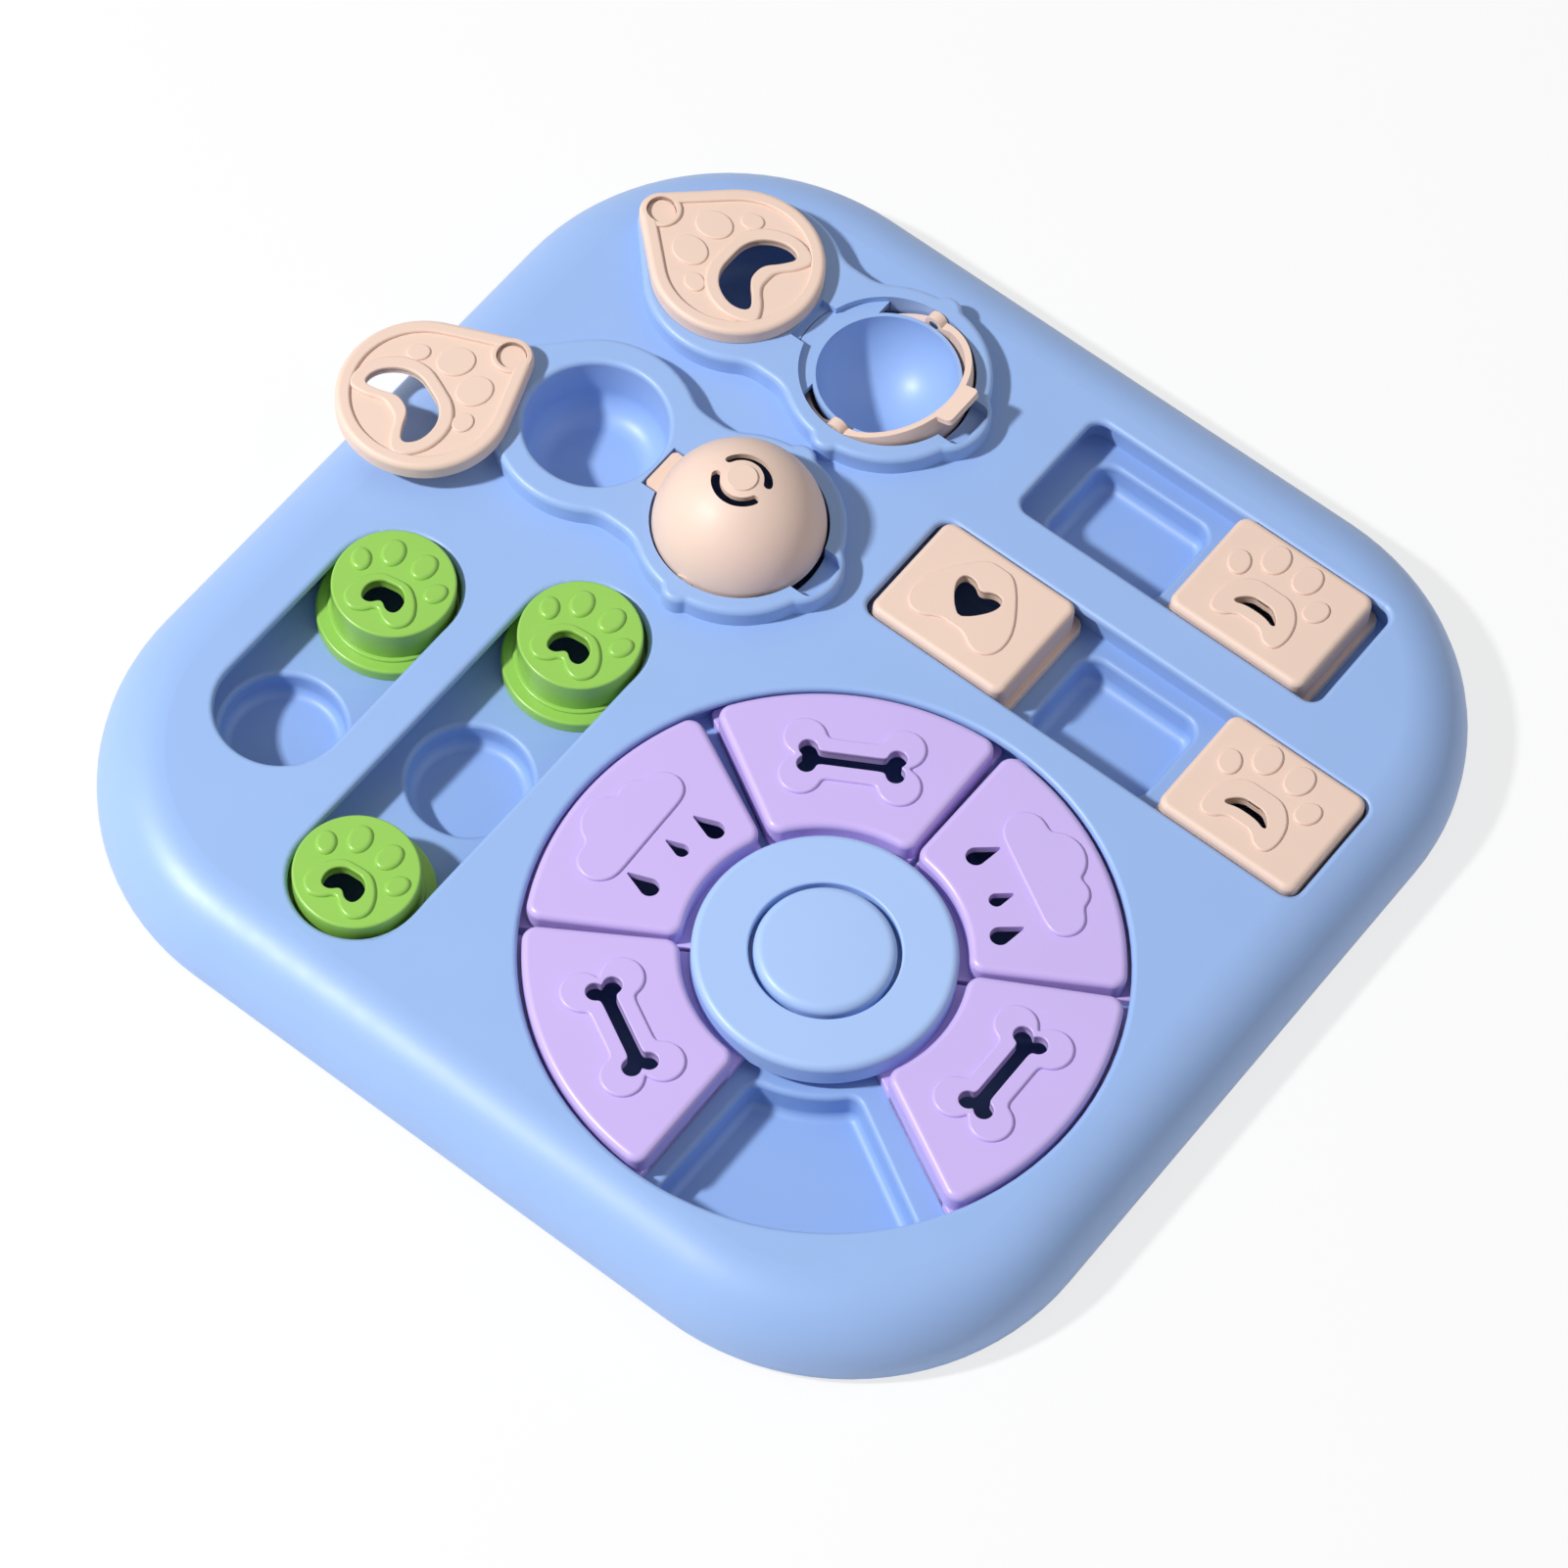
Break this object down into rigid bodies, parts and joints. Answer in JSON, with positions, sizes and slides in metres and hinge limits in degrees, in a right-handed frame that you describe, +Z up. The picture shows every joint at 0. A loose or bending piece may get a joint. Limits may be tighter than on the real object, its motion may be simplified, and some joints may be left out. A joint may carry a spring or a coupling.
{
  "type": "dog puzzle feeder toy",
  "caption": "Rounded square puzzle board for dogs: treats hide in cups under sliding pucks and blocks, turning wedges, swivel covers and flip-over domes.",
  "frame": {"origin": "middle of the underside of the central rubber foot, under the board's centre", "axes": "+Z up, +X to the right of the board, towards the block sliders, +Y to its back"},
  "size_m": [0.3057, 0.297, 0.053],
  "materials": {
    "blue_top": "satin",
    "blue_cover": "satin",
    "blue_tray": "satin",
    "blue_hub": "satin",
    "blue_pod": "satin",
    "green_puck": "satin",
    "pink_slider": "satin",
    "pink_cover": "satin",
    "purple_wedge": "satin",
    "steel": "plain",
    "rubber": "matte"
  },
  "bodies": {
    "base": {"top_shell": "blue_top", "bottom_cover": "blue_cover", "ring_tray": "blue_tray", "green_tray_short": "blue_tray", "green_tray_long": "blue_tray", "pink_tray_short": "blue_tray", "pink_tray_long": "blue_tray", "hub_cap": "blue_hub", "button_bellows": "rubber", "hub_screw_1": "steel", "hub_screw_2": "steel", "hub_screw_3": "steel", "case_screw_1": "steel", "case_screw_2": "steel", "case_screw_3": "steel", "case_screw_4": "steel", "case_screw_5": "steel", "case_screw_6": "steel", "case_screw_7": "steel", "case_screw_8": "steel", "case_screw_9": "steel", "rubber_foot_1": "rubber", "rubber_foot_2": "rubber", "rubber_foot_3": "rubber", "rubber_foot_4": "rubber", "rubber_foot_5": "rubber", "pod_back": "blue_pod", "treat_bowl_back": "blue_pod", "dome_bowl_back": "blue_pod", "pivot_pin_back": "pink_cover", "hinge_pin_back_1": "steel", "hinge_pin_back_2": "steel", "pod_front": "blue_pod", "treat_bowl_front": "blue_pod", "dome_bowl_front": "blue_pod", "pivot_pin_front": "pink_cover", "hinge_pin_front_1": "steel", "hinge_pin_front_2": "steel"},
    "center_button": {"center_button": "blue_hub"},
    "puck_short": {"puck_short": "green_puck"},
    "puck_long_upper": {"puck_long_upper": "green_puck"},
    "puck_long_lower": {"puck_long_lower": "green_puck"},
    "paw_slider_short": {"paw_slider_short": "pink_slider"},
    "paw_slider_long": {"paw_slider_long": "pink_slider"},
    "heart_slider": {"heart_slider": "pink_slider"},
    "swivel_cover_back": {"swivel_cover_back": "pink_cover"},
    "swivel_cover_front": {"swivel_cover_front": "pink_cover"},
    "dome_lid_back": {"dome_lid_back": "pink_cover"},
    "dome_lid_front": {"dome_lid_front": "pink_cover"},
    "ring_wedge_1": {"ring_wedge_1": "purple_wedge"},
    "ring_wedge_2": {"ring_wedge_2": "purple_wedge"},
    "ring_wedge_3": {"ring_wedge_3": "purple_wedge"},
    "ring_wedge_4": {"ring_wedge_4": "purple_wedge"},
    "ring_wedge_5": {"ring_wedge_5": "purple_wedge"}
  },
  "joints": [
    {"name": "puck_short_slide", "type": "slide", "parent": "base", "child": "puck_short", "axis": [0, 1, 0], "range_m": [-0.0457, 0]},
    {"name": "puck_long_upper_slide", "type": "slide", "parent": "base", "child": "puck_long_upper", "axis": [0, 1, 0], "range_m": [-0.0457, 0]},
    {"name": "puck_long_lower_slide", "type": "slide", "parent": "base", "child": "puck_long_lower", "axis": [0, 1, 0], "range_m": [0, 0.0457]},
    {"name": "paw_slider_short_slide", "type": "slide", "parent": "base", "child": "paw_slider_short", "axis": [1, 0, 0], "range_m": [-0.0461, 0]},
    {"name": "paw_slider_long_slide", "type": "slide", "parent": "base", "child": "paw_slider_long", "axis": [1, 0, 0], "range_m": [-0.047, 0]},
    {"name": "heart_slider_slide", "type": "slide", "parent": "base", "child": "heart_slider", "axis": [1, 0, 0], "range_m": [0, 0.047]},
    {"name": "button_press", "type": "slide", "parent": "base", "child": "center_button", "axis": [0, 0, -1], "range_m": [0, 0.0025], "stiffness_N_per_m": 400, "springref_m": -0.003, "deforming": ["button_bellows"]},
    {"name": "ring_wedge_3_turn", "type": "hinge", "parent": "base", "child": "ring_wedge_3", "pos_m": [0.051, -0.051, 0.0162], "axis": [0, 0, 1], "continuous": true},
    {"name": "ring_wedge_2_turn", "type": "hinge", "parent": "base", "child": "ring_wedge_2", "pos_m": [0.051, -0.051, 0.0162], "axis": [0, 0, 1], "continuous": true},
    {"name": "ring_wedge_4_turn", "type": "hinge", "parent": "base", "child": "ring_wedge_4", "pos_m": [0.051, -0.051, 0.0162], "axis": [0, 0, 1], "continuous": true},
    {"name": "ring_wedge_1_turn", "type": "hinge", "parent": "ring_wedge_2", "child": "ring_wedge_1", "pos_m": [0.051, -0.051, 0.0162], "axis": [0, 0, 1], "range_deg": [-59, 0]},
    {"name": "ring_wedge_5_turn", "type": "hinge", "parent": "ring_wedge_4", "child": "ring_wedge_5", "pos_m": [0.051, -0.051, 0.0162], "axis": [0, 0, 1], "range_deg": [0, 59]},
    {"name": "swivel_cover_back_turn", "type": "hinge", "parent": "base", "child": "swivel_cover_back", "pos_m": [-0.1202, 0.0972, 0.033], "axis": [0, 0, 1], "range_deg": [-113, 0]},
    {"name": "swivel_cover_front_turn", "type": "hinge", "parent": "base", "child": "swivel_cover_front", "pos_m": [-0.1216, 0.0346, 0.033], "axis": [0, 0, 1], "range_deg": [0, 113]},
    {"name": "dome_lid_back_flip", "type": "hinge", "parent": "base", "child": "dome_lid_back", "pos_m": [-0.0427, 0.0972, 0.0295], "axis": [0, 1, 0], "range_deg": [-160, 0]},
    {"name": "dome_lid_front_flip", "type": "hinge", "parent": "base", "child": "dome_lid_front", "pos_m": [-0.0441, 0.0346, 0.0295], "axis": [0, 1, 0], "range_deg": [0, 160]}
  ],
  "couplings": [
    {"joint": "ring_wedge_2_turn", "follows": "ring_wedge_3_turn", "ratio": 1},
    {"joint": "ring_wedge_4_turn", "follows": "ring_wedge_3_turn", "ratio": 1}
  ]
}
